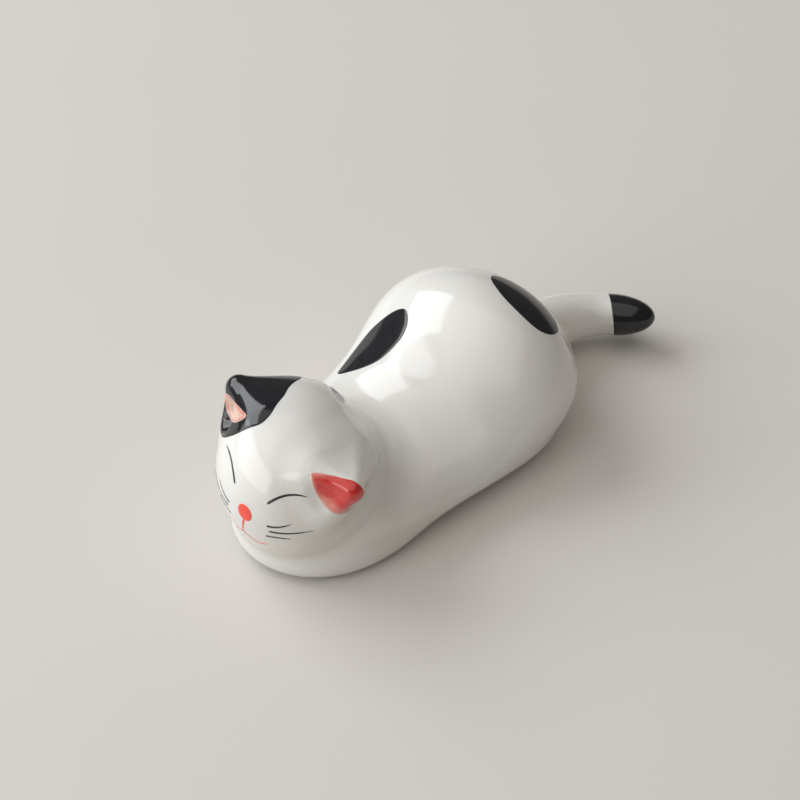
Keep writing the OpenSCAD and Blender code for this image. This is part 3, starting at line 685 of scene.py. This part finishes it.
def smooth_loop(points, steps):
    """Closed curve through points, as a chain of cubic arcs."""
    points = np.array(points, float)
    count = len(points)
    place = np.arange(steps) / steps * count
    i, t = place.astype(int), (place % 1)[:, None]
    a, b, c, d = (points[(i + k) % count] for k in (-1, 0, 1, 2))
    return b + t * (c - a + t * (2 * a - 5 * b + 4 * c - d + t * (3 * (b - c) + d - a))) / 2


def enamel_height(inside, height=ENAMEL_H):
    """Height over the glaze at a distance inside the enamel's edge, round at the edge."""
    share = np.clip(inside / ENAMEL_EDGE, 0, 1)
    return -ENAMEL_SINK + (height + ENAMEL_SINK) * np.sqrt(1 - (1 - share) ** 2)


def poles(start, direction, height):
    """Middles of an enamel's outside and of its underside."""
    return [cast(start, direction[None], offset) for offset in (height, -ENAMEL_SINK)]


def enamel_patch(name, start, middle, rim, spacing, material, slot, *nodes, height=ENAMEL_H, cover_and_shade=None):
    """Closed patch of enamel between a middle and a rim of target points, seen from a start inside."""
    turn = np.cross(rim - middle, np.roll(rim, -1, 0) - middle).sum(0) @ (middle - start)
    rim = rim if turn > 0 else rim[::-1]
    reach = np.linalg.norm(rim - middle, axis=-1)
    half = reach.mean()
    edge = 1 - np.array(PATCH_EDGE_SHARES) * ENAMEL_EDGE / half
    inner = np.linspace(0, edge[0], max(int(half / spacing), 3) + 1)[1:-1]
    rings, unders = [], []
    for share in (*inner, *edge):
        targets = middle + (rim - middle) * share - start
        inside = (1 - share) * (reach.min() if share < edge[0] else half)
        rings.append(cast(start, targets, enamel_height(inside, height)))
        unders.append(cast(start, targets, -ENAMEL_UNDER))
    rings.append(cast(start, rim - start, -ENAMEL_SINK))
    top, bottom = poles(start, middle - start, height)
    points = np.concatenate([top, *rings, *unders[::-1], bottom])
    attributes = {}
    if cover_and_shade is not None:
        inside = np.min([segment_gap(points, a, b) for a, b in zip(rim, np.roll(rim, -1, 0))], 0)
        attributes["cover_and_shade"] = cover_and_shade(points, inside)
    faces = ringed_faces(len(rings) + len(unders), len(rim))
    return piece(name, points, faces, material, slot, *nodes, attributes=attributes)


def enamel_dome(name, start, axis, sides, reach, edge_l, rows, edge_shares, node):
    """Closed black enamel over a round end, from its axis out to an angle towards each side."""
    shares = np.concatenate([np.linspace(0, 1, rows)[1:-1], 1 - np.array(edge_shares) / rows])
    rings, unders = [], []
    for share in shares:
        direction = axis * np.cos(share * reach)[:, None] + sides * np.sin(share * reach)[:, None]
        rings.append(cast(start, direction, enamel_height((1 - share) * edge_l)))
        unders.append(cast(start, direction, -ENAMEL_UNDER))
    top, bottom = poles(start, axis, ENAMEL_H)
    points = np.concatenate([top, *rings, *unders[::-1], bottom])
    return piece(name, points, ringed_faces(2 * len(shares), len(sides)), black, "black_enamel", node)


# Middles of the two patches on the torso, as angles round and up from the haunch's middle, their spin,
# and their outlines in millimetres along and across each patch
BACK_PATCH_AT, BACK_PATCH_SPIN = (-41.4, 12.6), 96.3
BACK_PATCH = (
    (-5.7, 0.9), (-4.4, 2.6), (-1.3, 2.9), (2.0, 2.0), (4.6, 0.9),
    (5.5, -0.3), (4.9, -2.0), (3.3, -3.0), (1.2, -3.1), (-1.4, -2.6), (-4.0, -1.0),
)
RUMP_PATCH_AT, RUMP_PATCH_SPIN = (135, 52.2), 32.4
RUMP_PATCH = (
    (5.9, -0.6), (4.6, 1.3), (1.8, 2.8), (-1.7, 3.2), (-4.6, 2.6),
    (-6.0, 0.8), (-5.8, -1.6), (-3.8, -3.2), (-0.6, -3.6), (2.8, -3.2), (5.0, -2.2),
)


def level_axes(normal, spin=0):
    """Directions along and across a place with a normal, turned from the level by a spin in degrees."""
    level = unit(np.cross(UP, normal))
    rise = np.cross(normal, level)
    c, s = math.cos(math.radians(spin)), math.sin(math.radians(spin))
    return level * c + rise * s, rise * c - level * s


def torso_patch(name, at_angles, spin, outline, node):
    start = np.array(HAUNCH_AT)
    middle = cast(start, aim(*at_angles)[None])[0]
    along, across = level_axes(unit(slope(middle[None]))[0], spin)
    rim = smooth_loop(outline, PATCH_STEPS)
    rim = middle + rim[:, :1] * along + rim[:, 1:] * across
    return enamel_patch(name, start, middle, rim, TORSO_SPACING, black, "black_enamel", node)


torso_patch("black_back_patch", BACK_PATCH_AT, BACK_PATCH_SPIN, BACK_PATCH, "back_patch")
torso_patch("black_rump_patch", RUMP_PATCH_AT, RUMP_PATCH_SPIN, RUMP_PATCH, "rump_patch")


def tail_cap():
    """Black over the end of the tail, with an edge that leans."""
    base = np.array(TAIL_L + TAIL_END_L - TAIL_DARK_L)
    heading = tail_heading(base)
    turned = -np.arange(TAIL_STEPS) / TAIL_STEPS * 2 * math.pi
    sides = np.cos(turned)[:, None] * np.cross(heading, UP) + np.sin(turned)[:, None] * UP
    reach = np.radians(90 + TAIL_DARK_LEAN * np.cos(turned - math.radians(TAIL_DARK_LEAN_AT)))
    return enamel_dome(
        "black_tail_tip", tail_axis(base), heading, sides, reach, TAIL_DARK_L,
        TAIL_RINGS, TAIL_EDGE_SHARES, "tail_tip",
    )


tail_cap()

# Outline of the black round the right ear, as angles round and up from the middle of the face, and about
# how far its middle is from its rim
EAR_BLACK = (
    (-57, 23), (-44, 38), (-38, 51), (-35, 62), (-51, 69),
    (-92, 70), (-129, 55), (-125, 38), (-105, 24), (-80, 16),
)
EAR_BLACK_R = 7
# Depth below an ear's base from which all of the ear can be seen
EAR_START_DEPTH = 2.6


def ear_start(corners):
    """Point inside the head below the middle of an ear."""
    a, b, c, tip = corners
    middle = (a + b + c) / 3
    return middle - unit(tip - middle) * EAR_START_DEPTH


def ear_black():
    """Black on the right ear and on the head round it."""
    corners = EARS["right_ear"]
    start = ear_start(corners)
    axis = unit(corners[3] - start)
    angles = smooth_loop(EAR_BLACK, EAR_STEPS)
    aims = unit(head_point(angles[:, 0], angles[:, 1]) - start)
    sides = unit(aims - (aims @ axis)[:, None] * axis)
    reach = np.arccos(np.clip(aims @ axis, -1, 1))
    return enamel_dome(
        "black_ear_patch", start, axis, sides, reach, EAR_BLACK_R, EAR_RINGS, EAR_EDGE_SHARES, "ear_patch"
    )


ear_black()

# Outlines and middles of the colours on the fronts of the ears, in degrees round the ear's own axis
RED_OUTLINE = (
    (29, -34), (14, -24), (3, -14), (-2, -9), (-6, 1), (-9, 16), (-5, 30),
    (4, 32), (18, 24), (29, 16), (35, 4), (36, -14), (33, -28),
)
RED_MIDDLE = (18, 4)
PINK_OUTLINE = (
    (-11, 2), (-18, -17), (-24, -34), (-28, -43), (-34, -39),
    (-38, -28), (-36, -8), (-31, 10), (-23, 14), (-16, 10),
)
PINK_MIDDLE = (-27, -12)

# Share of the red at the left ear's upper edge and at its tip, where 1 and more is full, the length over
# which that falls by 1, and the least share. The full dark red is thick enamel along the upper edge, and at
# the tip it is thick enamel and painted shade where the ear turns away from the light.
RED_TOP_FULL, RED_TOP_L = 1.2, 0.8
RED_TIP_FULL, RED_TIP_L = 1.4, 1.6
RED_LEAST_SHARE = 0.2
# Width over which the red fades at its rim: at the tip, its gain for each millimetre from there, and
# its limits
RED_FADE_START, RED_FADE_SLOPE, RED_FADE_LEAST, RED_FADE_MOST = 0.02, 0.14, 0.15, 1.1
PINK_FADE = 0.5


def ear_front(name, ear, outline, at, material, slot, node, cover_and_shade, height=ENAMEL_H):
    """Colour on the front of an ear, with its outline and its middle in degrees round the ear's axis."""
    corners = EARS[ear]
    start = ear_start(corners)
    axis = unit(corners[3] - start)
    right = unit(np.cross(axis, corners[0] - corners[1]))
    ear_axes = np.array([right, np.cross(axis, right), axis])

    def on_ear(places):
        off = np.radians(np.linalg.norm(places, axis=-1, keepdims=True))
        aims = np.concatenate([unit(places) * np.sin(off), np.cos(off)], -1)
        return cast(start, aims @ ear_axes)

    rim = on_ear(smooth_loop(outline, PATCH_STEPS))
    middle = on_ear(np.array([at], float))[0]
    return enamel_patch(
        name, start, middle, rim, EAR_SPACING, material, slot, node, height=height, cover_and_shade=cover_and_shade
    )


def red_cover_and_shade(points, inside):
    """Full along the upper edge and at the tip of the left ear, thinner in its middle and at its edges; at
    the tip the full dark red is partly painted shade.
    """
    corner, _, _, tip = EARS["left_ear"]
    from_top = segment_gap(points, corner, tip) - EAR_ROUND
    from_tip = np.linalg.norm(points - tip, axis=-1) - EAR_ROUND
    full = np.maximum(
        np.clip(RED_TOP_FULL - from_top / RED_TOP_L, RED_LEAST_SHARE, 1),
        np.clip(RED_TIP_FULL - from_tip / RED_TIP_L, RED_LEAST_SHARE, 1),
    )
    fade = np.clip(RED_FADE_START + RED_FADE_SLOPE * from_tip, RED_FADE_LEAST, RED_FADE_MOST)
    return full * np.clip(inside / fade, 0, 1)


def pink_cover(points, inside):
    return np.clip(inside / PINK_FADE, 0, 1)


# The red's full dark colour at the ear's tip is partly painted shade
ear_front(
    "red_ear_front", "left_ear", RED_OUTLINE, RED_MIDDLE, red_ear, "red_enamel", "left_ear_inner", red_cover_and_shade
)
# The pink lies over the black coat
ear_front(
    "pink_ear_front", "right_ear", PINK_OUTLINE, PINK_MIDDLE, pink_ear, "pink_enamel", "right_ear_inner",
    pink_cover, height=2 * ENAMEL_H,
)

# Painted strokes, as four control points of angles round and up from the middle of the face
EYE_PATH = ((14, 20), (22.5, 31.5), (35, 32.5), (42, 30))
WHISKER_PATHS = (
    ((15.5, 2), (21, 2), (26, 4), (32, 7.5)),
    ((17, -2.8), (27, -2.2), (37, -1), (47, 0.5)),
    ((15, -9), (20, -7.6), (27, -7.4), (32, -7.4)),
)
MOUTH_PATHS = (
    ((-1.5, -2.5), (-2.5, -8), (-3.5, -13), (-4.5, -18)),
    ((-4.5, -18), (-0.5, -25), (8.5, -26.5), (16.5, -19)),
    ((-4.5, -18), (-7, -21.5), (-10, -23), (-14, -22)),
)
EYE_W, WHISKER_W, MOUTH_W = 0.38, 0.35, 0.36

# A stroke's points: how many rings it has, and its section as shares of half its width and of its height,
# which sinks into the glaze where the second is below 0
STROKE_RINGS = 36
STROKE_SECTION = np.array([(-1, -1), (-0.92, 0.35), (-0.6, 0.85), (0, 1), (0.6, 0.85), (0.92, 0.35), (1, -1)])
# A stroke's width: how much thinner it ends, the shares of its length over which it is rounded at its
# start and its end, and the square of the least share of the width that the rounding leaves
STROKE_THINNING, STROKE_START, STROKE_END, STROKE_LEAST = 0.45, 0.05, 0.3, 0.004


def curve(path, t):
    c = np.array(path, float)
    t = t[:, None]
    return (1 - t) ** 3 * c[0] + 3 * (1 - t) ** 2 * t * c[1] + 3 * (1 - t) * t * t * c[2] + t ** 3 * c[3]


def stroke(path, width, side=1):
    """Points and faces of a brush stroke on the head, blunt where it starts and thin where it ends."""
    t = np.linspace(0, 1, STROKE_RINGS)
    at = curve(path, t)
    centre = head_point(at[:, 0] * side, at[:, 1])
    heading = unit(np.gradient(centre, axis=0))
    start = np.array(HEAD_AT)
    across = unit(np.cross(heading, unit(centre - start)))
    rounding = np.sqrt(np.clip(np.minimum(t / STROKE_START, (1 - t) / STROKE_END), STROKE_LEAST, 1))
    spread = width / 2 * (1 - STROKE_THINNING * t) * rounding
    aside, lift = STROKE_SECTION[:, :1], STROKE_SECTION[:, 1]
    heights = np.where(lift < 0, -ENAMEL_SINK, lift * LINE_H)
    rings = [cast(start, c + a * (aside * w) - start, heights) for c, a, w in zip(centre, across, spread)]
    ends = [cast(start, (centre[i] - start)[None]) for i in (0, -1)]
    points = np.concatenate([ends[0], *rings, ends[1]])
    return points, ringed_faces(STROKE_RINGS, len(STROKE_SECTION))


def strokes(name, parts, material, slot, node):
    """One piece made of several strokes."""
    points, faces, count = [], [], 0
    for part_points, part_faces in parts:
        points.append(part_points)
        faces += [tuple(i + count for i in f) for f in part_faces]
        count += len(part_points)
    return piece(name, np.concatenate(points), faces, material, slot, node)


for side, word in ((1, "left"), (-1, "right")):
    strokes("line_%s_eye" % word, [stroke(EYE_PATH, EYE_W, side)], black_line, "black_enamel", word + "_eye")
    strokes(
        "line_%s_whiskers" % word, [stroke(path, WHISKER_W, side) for path in WHISKER_PATHS],
        black_line, "black_enamel", word + "_whiskers",
    )
strokes("line_mouth", [stroke(path, MOUTH_W) for path in MOUTH_PATHS], red_line, "red_enamel", "mouth")

NOSE_AT, NOSE_L, NOSE_W, NOSE_SPIN = (-1, 4.6), 2.4, 2.1, 8


def nose():
    start = np.array(HEAD_AT)
    middle = head_point(*NOSE_AT)
    along, across = level_axes(unit(middle - start), NOSE_SPIN)
    a = np.arange(NOSE_STEPS) / NOSE_STEPS * 2 * math.pi
    rim = middle + np.outer(NOSE_W / 2 * np.cos(a), along) + np.outer(NOSE_L / 2 * np.sin(a), across)
    return enamel_patch(
        "red_nose", start, middle, rim, NOSE_SPACING, red_line, "red_enamel", "nose", height=NOSE_H
    )


nose()


# Floor, lights and camera

# Side of the floor in metres, its colour, and the waves of its grain to a metre
FLOOR_SIDE = 3.0
FLOOR_COLOUR = (0.69, 0.66, 0.62)
FLOOR_WAVES = 20


def floor():
    half = FLOOR_SIDE / 2
    corners = [(-half, -half, 0), (half, -half, 0), (half, half, 0), (-half, half, 0)]
    mesh = bpy.data.meshes.new("floor")
    mesh.from_pydata(corners, [], [(0, 1, 2, 3)])
    made, tree, shader = new_material("floor", 0.6, 0.0)
    grain = noise(tree, place_of(tree), FLOOR_WAVES)
    colour = between(tree, grain, FLOOR_COLOUR, tuple(c * 0.97 for c in FLOOR_COLOUR))
    tree.links.new(colour, shader.inputs["Base Color"])
    mesh.materials.append(made)
    plane = bpy.data.objects.new("floor", mesh)
    bpy.context.scene.collection.objects.link(plane)


def area_light(name, azimuth, elevation, distance, size, power, colour):
    """Rectangular light that faces the cat; azimuth runs from -Y towards +X, and lengths are in metres."""
    data = bpy.data.lights.new(name, "AREA")
    data.shape = "RECTANGLE"
    data.size, data.size_y = size
    data.energy = power
    data.color = colour
    made = bpy.data.objects.new(name, data)
    back = Vector(aim(azimuth, elevation).tolist())
    turned = back.to_track_quat("Z", "Y").to_matrix().to_4x4()
    made.matrix_world = Matrix.Translation(back * distance) @ turned
    bpy.context.scene.collection.objects.link(made)


def lights():
    area_light(
        "window", azimuth=-79, elevation=39, distance=0.8,
        size=(0.66, 0.44), power=3.8, colour=(0.95, 0.98, 1.0),
    )
    area_light(
        "low_window", azimuth=-28, elevation=20, distance=1.0,
        size=(1.3, 0.6), power=6.8, colour=(0.93, 0.97, 1.0),
    )
    area_light(
        "ceiling", azimuth=30, elevation=76, distance=1.3,
        size=(2.0, 2.0), power=9.5, colour=(1.0, 0.97, 0.93),
    )
    world = bpy.data.worlds.new("room")
    world.use_nodes = True
    background = world.node_tree.nodes["Background"]
    background.inputs["Color"].default_value = (1.0, 0.94, 0.87, 1)
    background.inputs["Strength"].default_value = 0.12
    bpy.context.scene.world = world


# Camera at the photograph's angle: turned from -Y towards +X, raised over the table, and its distance
# from the point that it is aimed at, in millimetres
CAMERA_TURN, CAMERA_RISE, CAMERA_DISTANCE = 42.622, 43.293, 310.545
CAMERA_AIM = (-7.269, 8.646, 0)
CAMERA_FOCUS_PX, PHOTO_PX, SENSOR = 2492.0, 800, 36


def camera():
    back = Vector(aim(CAMERA_TURN, CAMERA_RISE).tolist())
    right = Vector((math.cos(math.radians(CAMERA_TURN)), math.sin(math.radians(CAMERA_TURN)), 0))
    up = back.cross(right)
    data = bpy.data.cameras.new("camera")
    data.sensor_width = SENSOR
    data.lens = CAMERA_FOCUS_PX / PHOTO_PX * SENSOR
    data.clip_start = 0.01
    made = bpy.data.objects.new("camera", data)
    place = (Vector(CAMERA_AIM) + back * CAMERA_DISTANCE) * MM
    made.matrix_world = Matrix.Translation(place) @ Matrix((right, up, back)).transposed().to_4x4()
    bpy.context.scene.collection.objects.link(made)
    bpy.context.scene.camera = made


floor()
lights()
camera()
bpy.context.scene.view_settings.view_transform = "Standard"

bpy.context.view_layer.update()
